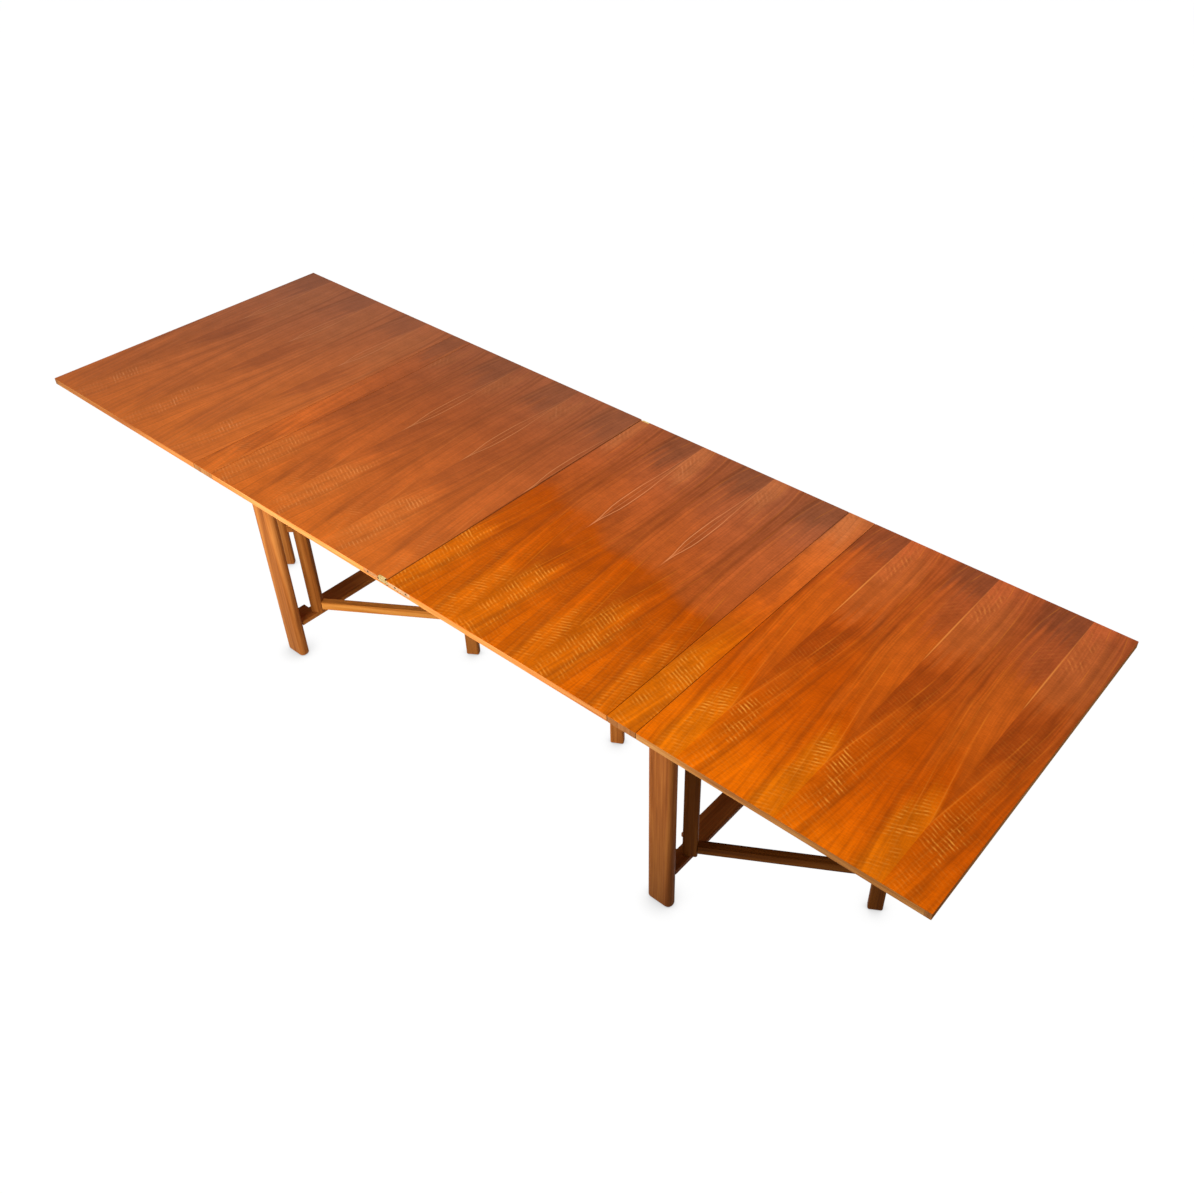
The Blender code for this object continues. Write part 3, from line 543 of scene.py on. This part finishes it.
VENEERS = {
    "left_outer_leaf": teak_veneer(
        "teak_veneer_left_end", joint=-1.077, leaf=0.1125, tones=LEFT_END, figure=LEFT_END_FIGURE,
        seed=1.0, tilt=-0.50),
    "left_centre_strip": teak_veneer(
        "teak_veneer_left_strip", joint=-0.673, leaf=0.1115, tones=LEFT_STRIP, figure=LEFT_MIDDLE_FIGURE,
        seed=1.4, hairs=0.0),
    "left_inner_leaf": teak_veneer(
        "teak_veneer_left_middle", joint=-0.227, leaf=0.1115, tones=LEFT_MIDDLE,
        figure=LEFT_MIDDLE_FIGURE, seed=1.8, painted_seam_shade=0.3),
    "right_inner_leaf": teak_veneer(
        "teak_veneer_right_middle", joint=0.213, leaf=0.1134, tones=RIGHT_MIDDLE,
        figure=RIGHT_MIDDLE_FIGURE, seed=2.2, tilt=0.26, painted_seam_shade=0.3),
    "right_centre_strip": teak_veneer(
        "teak_veneer_right_strip", joint=0.666, leaf=0.1134, tones=RIGHT_STRIP,
        figure=RIGHT_MIDDLE_FIGURE, seed=2.6, hairs=0.0),
    "right_outer_leaf": teak_veneer(
        "teak_veneer_right_end", joint=1.069, leaf=0.1148, tones=RIGHT_END, figure=RIGHT_END_FIGURE,
        seed=3.0, tilt=0.30, spindle=0.05),
}
PALE_LIPPING = solid_teak("pale_teak_lipping", ("#C66C2E", "#EA9044", "#FAB268"), ALONG, rough=0.42)
WARM_LIPPING = solid_teak("warm_teak_lipping", ("#B06830", "#DC924A", "#F4B46C"), ALONG, rough=0.42)
# The end lippings are seen at a slant so flat that any sheen would turn them grey
CROSS_LIPPING = solid_teak(
    "teak_lipping_of_the_ends", ("#A05E2A", "#CC8444", "#E4A45E"), ACROSS, rough=0.42, sheen=0.0)
END_GRAIN = solid_teak("teak_end_grain", ("#945628", "#C07C44", "#D89A5C"), UPRIGHT, rough=0.55)
BACKING_AND_SEAM_SHADE = solid_teak("teak_backing_and_seam_shade", ("#6A3C1C", "#8A5428", "#A4683A"), ACROSS, rough=0.55)
# Tones of the two frames: the right frame's legs and boards are darker as painted shade, the same teak
# under less light
LEG_TONES = {"left": ("#944F1E", "#C47434", "#DE9048"), "right": ("#783E16", "#A25C28", "#C07838")}
BOARD_TONES = {"left": ("#7E4216", "#A45C24", "#C07834"), "right": ("#5A2A0C", "#7E421A", "#9C5C28")}
# Posts and legs of the gates, then their rails. Their tones differ from gate to gate as painted
# light and shade on the same teak; the right outer gate is the most darkened.
GATE_TONES = {
    "left_outer": (("#904E1C", "#BE7030", "#DA8C44"), ("#A05A1E", "#D07C36", "#EA9C4E")),
    "left_inner": (("#783F14", "#A05C24", "#BC7434"), ("#A86020", "#DC8838", "#F4A850")),
    "right_inner": (("#9A5620", "#C87632", "#E29246"), ("#94501A", "#C0702C", "#DC8C40")),
    "right_outer": (("#60300E", "#824818", "#9E6028"), ("#562A0A", "#743E12", "#905620"))}
# Painted falloff of light on the legs of each frame: shade towards the floor, light towards the top
PAINTED_LEG_FALLOFF = {"left": 0.24, "right": 0.42}
LEG_WOOD = {unit: solid_teak("oiled_teak_leg_" + unit, LEG_TONES[unit], UPRIGHT, painted_falloff=PAINTED_LEG_FALLOFF[unit])
            for unit in LEG_TONES}
BOARD_WOOD = {unit: solid_teak("oiled_teak_board_" + unit, BOARD_TONES[unit], ACROSS)
              for unit in BOARD_TONES}
STEEL = worn_metal("bright_rolled_steel", ("#77736C", "#A8A49C", "#C9C6BF"), 0.36)
YELLOW_BRASS = worn_metal("worn_yellow_brass", ("#B8883E", "#EAC678", "#FEE8B2"), 0.30)
RED_BRASS = worn_metal("worn_red_brass", ("#CC7636", "#FCA656", "#FFCC90"), 0.32)
PALE_BRASS = worn_metal("worn_pale_brass", ("#D49050", "#FFC488", "#FFE4B8"), 0.30)
DULL_BRASS = worn_metal("tarnished_brass", ("#4A3018", "#7A5630", "#A88048"), 0.40)


# Pieces that follow the CAD shapes

def copy_of(node):
    """The shape of a CAD node with its loose triangles merged into one skin."""
    form = bmesh.new()
    form.from_mesh(NODES[node].data)
    bmesh.ops.remove_doubles(form, verts=form.verts, dist=MERGE)
    bmesh.ops.dissolve_limit(form, angle_limit=FLAT_ANGLE, verts=form.verts, edges=form.edges)
    return form


def split_at(form, x):
    """Cut the faces of a form in two where they cross an X."""
    bmesh.ops.bisect_plane(
        form, geom=form.verts[:] + form.edges[:] + form.faces[:], plane_co=(x, 0.0, 0.0),
        plane_no=(1.0, 0.0, 0.0))


def settle(item):
    """Turn what an object's modifiers make into its plain mesh."""
    graph = bpy.context.evaluated_depsgraph_get()
    raw = item.data
    made = bpy.data.meshes.new_from_object(
        item.evaluated_get(graph), preserve_all_data_layers=True, depsgraph=graph)
    item.modifiers.clear()
    item.data = made
    bpy.data.meshes.remove(raw)
    made.name = item.name


def finish_piece(name, form, materials, node, easing=0.0):
    """Make an object of a form, give it its materials and let it stand for a CAD node.

    Easing rounds its sharp edges a little. Flat faces keep their own normals, so that no shading
    runs from a rounded edge across a board.
    """
    mesh = bpy.data.meshes.new(name)
    form.to_mesh(mesh)
    form.free()
    for material in materials:
        mesh.materials.append(material)
    mesh.shade_smooth()
    mesh.set_sharp_from_angle(angle=SMOOTH_ANGLE)
    item = new_object(name, mesh)
    if easing:
        rounded = item.modifiers.new("easing", "BEVEL")
        rounded.width = easing
        rounded.segments = 2
        rounded.limit_method = "ANGLE"
        rounded.angle_limit = EASED_ANGLE
    level = item.modifiers.new("level", "WEIGHTED_NORMAL")
    level.keep_sharp = True
    settle(item)
    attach(item, BODY_OF[node])
    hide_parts(node)


def dress_board(node):
    """Board of the top: veneer above, backing below and as painted shade in the seams, lippings and end
    grain outside.
    """
    form = copy_of(node)
    is_end = "outer" in node
    if is_end:
        split_at(form, math.copysign(HALF_LENGTH - END_LIPPING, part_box(node)[0].x))
    lipping = WARM_LIPPING if node == "right_outer_leaf" else PALE_LIPPING
    woods = [VENEERS[node], BACKING_AND_SEAM_SHADE, lipping, END_GRAIN, CROSS_LIPPING]
    for face in form.faces:
        at_corner = is_end and abs(face.calc_center_median().x) > HALF_LENGTH - END_LIPPING
        along_table = abs(face.normal.x) > abs(face.normal.y)
        if face.normal.z > UPWARD:
            wood = VENEERS[node]
        # Faces in the seams between boards take the darker backing wood as painted shade of the gaps
        elif face.normal.z < DOWNWARD or along_table and not at_corner:
            wood = BACKING_AND_SEAM_SHADE
        elif along_table:
            wood = CROSS_LIPPING
        elif "strip" in node or at_corner:
            wood = END_GRAIN
        else:
            wood = lipping
        face.material_index = woods.index(wood)
    finish_piece(node + "_veneered", form, woods, node)


def let_in_plate(node):
    """A brass edge plate, let in a little below the face of the lipping so that its screws stay flush.

    Of each pair one plate carries a block, which makes it higher. It is of redder brass, and its
    block of yellower brass.
    """
    form = copy_of(node)
    for corner in form.verts:
        if abs(corner.co.y) > HALF_WIDTH - PLATE_SINK:
            corner.co.y = math.copysign(HALF_WIDTH - PLATE_SINK, corner.co.y)
    low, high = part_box(node)
    metals = [PALE_BRASS]
    if high.z - low.z > 2.1 * EDGE_PLATE_HALF:
        metals = [RED_BRASS, YELLOW_BRASS]
        split_at(form, math.copysign(EDGE_BLOCK_END, low.x + high.x))
        for face in form.faces:
            face.material_index = int(abs(face.calc_center_median().x) < EDGE_BLOCK_END)
    finish_piece(node + "_worn", form, metals, node, METAL_EASING)


for board in VENEERS:
    dress_board(board)

for node in NODES:
    unit = node.split("_")[0]
    if node.endswith(("near_leg", "far_leg")):
        finish_piece(node + "_oiled", copy_of(node), [LEG_WOOD[unit]], node)
    elif node.endswith(("lower_board", "upper_board")):
        finish_piece(node + "_oiled", copy_of(node), [BOARD_WOOD[unit]], node)
    elif node.startswith("centre_"):
        let_in_plate(node)
    elif node.endswith(("_plate", "_pin")):
        finish_piece(node + "_bright", copy_of(node), [STEEL], node, METAL_EASING)

for gate, (upright_tones, rail_tones) in GATE_TONES.items():
    post, leg = gate + "_gate_post", gate + "_gate_leg"
    reach = sum(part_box(leg), Vector()) - sum(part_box(post), Vector())
    upright = solid_teak("oiled_teak_posts_" + gate, upright_tones, UPRIGHT)
    level = solid_teak("oiled_teak_rails_" + gate, rail_tones, ALONG, turn=-math.atan2(reach.y, reach.x))
    for piece in (post, leg):
        finish_piece(piece + "_oiled", copy_of(piece), [upright], piece)
    for piece in (gate + "_gate_lower_rail", gate + "_gate_upper_rail"):
        finish_piece(piece + "_oiled", copy_of(piece), [level], piece)


# Screws of the hinges, sizes in metres

HEAD_SIDES = 20
HEAD_TAPER = 0.72  # radius of the top of a head, in radii of the head
SLOT_LENGTH = 2.4  # in radii, longer than the head is wide
SLOT_WIDTH = 0.32  # in radii
BUTT_HEAD_RADIUS = 0.0026
BUTT_HEAD_HEIGHT = 0.0005
EDGE_HEAD_RADIUS = 0.0029
EDGE_SCREWS = (0.013, 0.049)  # from the outer end of an edge plate
# From the edge of a butt plate towards its pin, the middle one of three set back
BUTT_SCREWS = {-1: 0.0075, 0: 0.0130, 1: 0.0075}
BUTT_SCREW_PITCH = 0.0165
# Turn of the slots in radians: of screw 0, and how much more from each screw to the next
EDGE_SLOT, EDGE_SLOT_STEP = 0.5, 1.1
BUTT_SLOT, BUTT_SLOT_STEP = 0.4, 0.9


def slotted_screws():
    """Geometry Nodes tree that puts a slotted screw head on every point, turned by its "turn"."""
    tree = bpy.data.node_groups.new("slotted_screws", "GeometryNodeTree")
    sizes = ("Head Radius", "Head Height", "Slot Width")
    tree.interface.new_socket("Points", in_out="INPUT", socket_type="NodeSocketGeometry")
    for size in sizes:
        tree.interface.new_socket(size, in_out="INPUT", socket_type="NodeSocketFloat")
    tree.interface.new_socket("Metal", in_out="INPUT", socket_type="NodeSocketMaterial")
    tree.interface.new_socket("Screws", in_out="OUTPUT", socket_type="NodeSocketGeometry")
    given = add(tree, "NodeGroupInput").outputs
    radius, height, slot = (given[size] for size in sizes)
    top = add(tree, MATH, {0: radius, 1: HEAD_TAPER}, operation="MULTIPLY")
    head = add(tree, "GeometryNodeMeshCone", {
        "Vertices": HEAD_SIDES, "Radius Top": top, "Radius Bottom": radius, "Depth": height})
    length = add(tree, MATH, {0: radius, 1: SLOT_LENGTH}, operation="MULTIPLY")
    bar = add(tree, "GeometryNodeMeshCube", {
        "Size": add(tree, VECTOR, {0: length, 1: slot, 2: height})})
    bar = add(tree, "GeometryNodeTransform", {
        "Geometry": bar, "Translation": add(tree, VECTOR, {2: height})})
    cut = add(tree, "GeometryNodeMeshBoolean", {"Mesh 1": head, "Mesh 2": bar}, operation="DIFFERENCE")
    turn = add(tree, "GeometryNodeInputNamedAttribute", {"Name": "turn"}, data_type="FLOAT_VECTOR")
    turn = add(tree, "FunctionNodeEulerToRotation", {0: turn})
    placed = add(tree, "GeometryNodeInstanceOnPoints", {
        "Points": given["Points"], "Instance": cut, "Rotation": turn})
    whole = add(tree, "GeometryNodeSetMaterial", {
        "Geometry": add(tree, "GeometryNodeRealizeInstances", {0: placed}), "Material": given["Metal"]})
    add(tree, "NodeGroupOutput", {0: whole})
    return tree


def drive_screws(name, body, points, radius, height, metal):
    """Set screw heads at points, each a place and its turn, as one mesh on a body."""
    mesh = bpy.data.meshes.new(name)
    mesh.from_pydata([place for place, turn in points], [], [])
    turns = mesh.attributes.new("turn", "FLOAT_VECTOR", "POINT")
    for index, (place, turn) in enumerate(points):
        turns.data[index].vector = turn
    item = new_object(name, mesh)
    maker = item.modifiers.new("screws", "NODES")
    maker.node_group = SCREWS
    chosen = {
        "Head Radius": radius, "Head Height": height, "Slot Width": SLOT_WIDTH * radius, "Metal": metal}
    for socket in SCREWS.interface.items_tree:
        if socket.name in chosen:
            maker[socket.identifier] = chosen[socket.name]
    settle(item)
    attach(item, body)


SCREWS = slotted_screws()
butt_screws = {}
edge_screws = []
for node in sorted(NODES):
    low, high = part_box(node)
    middle = (low + high) / 2
    if node.startswith("centre_"):
        # Two screws in each edge plate, heads outwards
        facing = math.copysign(1.0, middle.y)
        outer = high.x if node.endswith("right_plate") else low.x
        for count, inward in enumerate(EDGE_SCREWS):
            place = (outer - math.copysign(inward, outer), facing * (HALF_WIDTH - PLATE_SINK),
                     low.z + EDGE_PLATE_HALF)
            turn = (-facing * math.pi / 2, EDGE_SLOT + EDGE_SLOT_STEP * count, 0.0)
            edge_screws.append((place, turn))
    elif node.endswith("_plate"):
        # Three screws in each butt plate, heads down
        unit_x = math.copysign(UNIT_MIDDLE, middle.x)
        outward = math.copysign(1.0, middle.x - unit_x)
        edge = high.x if (outward > 0) == node.endswith("leaf_plate") else low.x
        towards_pin = -outward if node.endswith("leaf_plate") else outward
        for count, inward in BUTT_SCREWS.items():
            place = (edge + towards_pin * inward, middle.y + BUTT_SCREW_PITCH * count, high.z - BUTT_PLATE)
            turn = (math.pi, 0.0, BUTT_SLOT + BUTT_SLOT_STEP * count)
            butt_screws.setdefault(BODY_OF[node], []).append((place, turn))
for body, points in butt_screws.items():
    drive_screws("butt_hinge_screws_of_" + body, body, points, BUTT_HEAD_RADIUS, BUTT_HEAD_HEIGHT, STEEL)
drive_screws("edge_hinge_screws", BODY_OF["centre_near_hinge_left_plate"], edge_screws, EDGE_HEAD_RADIUS,
             PLATE_SINK, DULL_BRASS)


# Stage, light and camera

FLOOR_HALF = 30.0  # half the side of the floor in metres
FLOOR_DROP = 0.0005  # the floor lies this far below the feet
FOOT_SHADOW = 0.09  # the floor's glow carries a painted shadow this close to the feet
FLOOR_GLOW = 0.94  # share of the floor's own white in what is seen of it, lit paper is the rest
ROOM_LIGHT = 0.30
CAMERA_PLACE = (1.7854, -1.6776, 2.4277)
CAMERA_TURN = (49.735, -0.945, 38.757)  # degrees
CAMERA_LENS = 35.80  # mm
CAMERA_SENSOR = 36.0  # mm
CAMERA_SHIFT = (-0.0650, 0.0033)


def seen_directly(tree):
    """1 for what the camera sees, also mirrored or through glass, and 0 for the light on the table."""
    path = add(tree, "ShaderNodeLightPath").outputs
    seen = path["Is Camera Ray"]
    for ray in ("Is Glossy Ray", "Is Transmission Ray"):
        seen = add(tree, MATH, {0: seen, 1: path[ray]}, operation="MAXIMUM")
    return seen


def make_stage():
    """White paper floor with a painted shadow close to the feet; its lit paper holds faint real shadows.
    """
    mesh = bpy.data.meshes.new("studio_floor")
    form = bmesh.new()
    bmesh.ops.create_grid(form, x_segments=1, y_segments=1, size=FLOOR_HALF)
    form.to_mesh(mesh)
    form.free()
    floor = new_object("studio_floor", mesh)
    floor.location.z = -FLOOR_DROP
    material = bpy.data.materials.new("white_studio_floor")
    material.use_nodes = True
    tree = material.node_tree
    tree.nodes.clear()
    paper = add(tree, "ShaderNodeBsdfDiffuse", {"Color": srgb("#D8D8D8")})
    # Close to the feet the floor's glow is darkened by ambient occlusion as a painted shadow, further
    # off it is white paper that holds a faint real shadow
    close = add(tree, "ShaderNodeAmbientOcclusion", {"Distance": FOOT_SHADOW}, samples=16)
    white = add(tree, RANGE, {0: close.outputs["AO"], 1: 0.35, 2: 0.90, 3: 0.62, 4: 1.06})
    glow = add(tree, "ShaderNodeEmission", {"Color": srgb("#FFFFFF"), "Strength": white})
    shown = add(tree, "ShaderNodeMixShader", {0: FLOOR_GLOW, 1: paper, 2: glow})
    whole = add(tree, "ShaderNodeMixShader", {0: seen_directly(tree), 1: paper, 2: shown})
    add(tree, "ShaderNodeOutputMaterial", {"Surface": whole})
    mesh.materials.append(material)
    floor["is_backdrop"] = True


def make_world():
    """Soft light from all round, with plain white behind the table."""
    world = bpy.data.worlds.new("studio")
    world.use_nodes = True
    bpy.context.scene.world = world
    tree = world.node_tree
    tree.nodes.clear()
    room = add(tree, "ShaderNodeBackground", {"Color": srgb("#FFFFFF"), "Strength": ROOM_LIGHT})
    white = add(tree, "ShaderNodeBackground", {"Color": srgb("#FFFFFF"), "Strength": 1.0})
    whole = add(tree, "ShaderNodeMixShader", {0: seen_directly(tree), 1: room, 2: white})
    add(tree, "ShaderNodeOutputWorld", {"Surface": whole})


def make_lamp(name, place, aim, size, power):
    """Soft box that lights the table and isn't seen itself."""
    lamp = bpy.data.lights.new(name, "AREA")
    lamp.shape = "RECTANGLE"
    lamp.size, lamp.size_y = size
    lamp.energy = power
    item = new_object(name, lamp)
    item.location = place
    item.rotation_euler = (Vector(aim) - Vector(place)).to_track_quat("-Z", "Y").to_euler()
    item.visible_camera = False
    item.visible_glossy = False


def make_camera():
    camera = bpy.data.cameras.new("camera")
    camera.sensor_width = CAMERA_SENSOR
    camera.lens = CAMERA_LENS
    camera.shift_x, camera.shift_y = CAMERA_SHIFT
    item = new_object("camera", camera)
    item.location = CAMERA_PLACE
    item.rotation_euler = tuple(math.radians(angle) for angle in CAMERA_TURN)
    bpy.context.scene.camera = item


make_stage()
make_world()
make_lamp("soft_box_above", place=(0.3, -0.1, 3.1), aim=(0.3, -0.1, 0.7), size=(2.4, 2.0), power=50.0)
make_lamp("soft_box_front", place=(-0.15, -1.6, 0.60), aim=(-0.25, 0.0, 0.45), size=(1.0, 0.14),
          power=17.5)
make_camera()
bpy.context.scene.view_settings.view_transform = "Standard"

low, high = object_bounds()
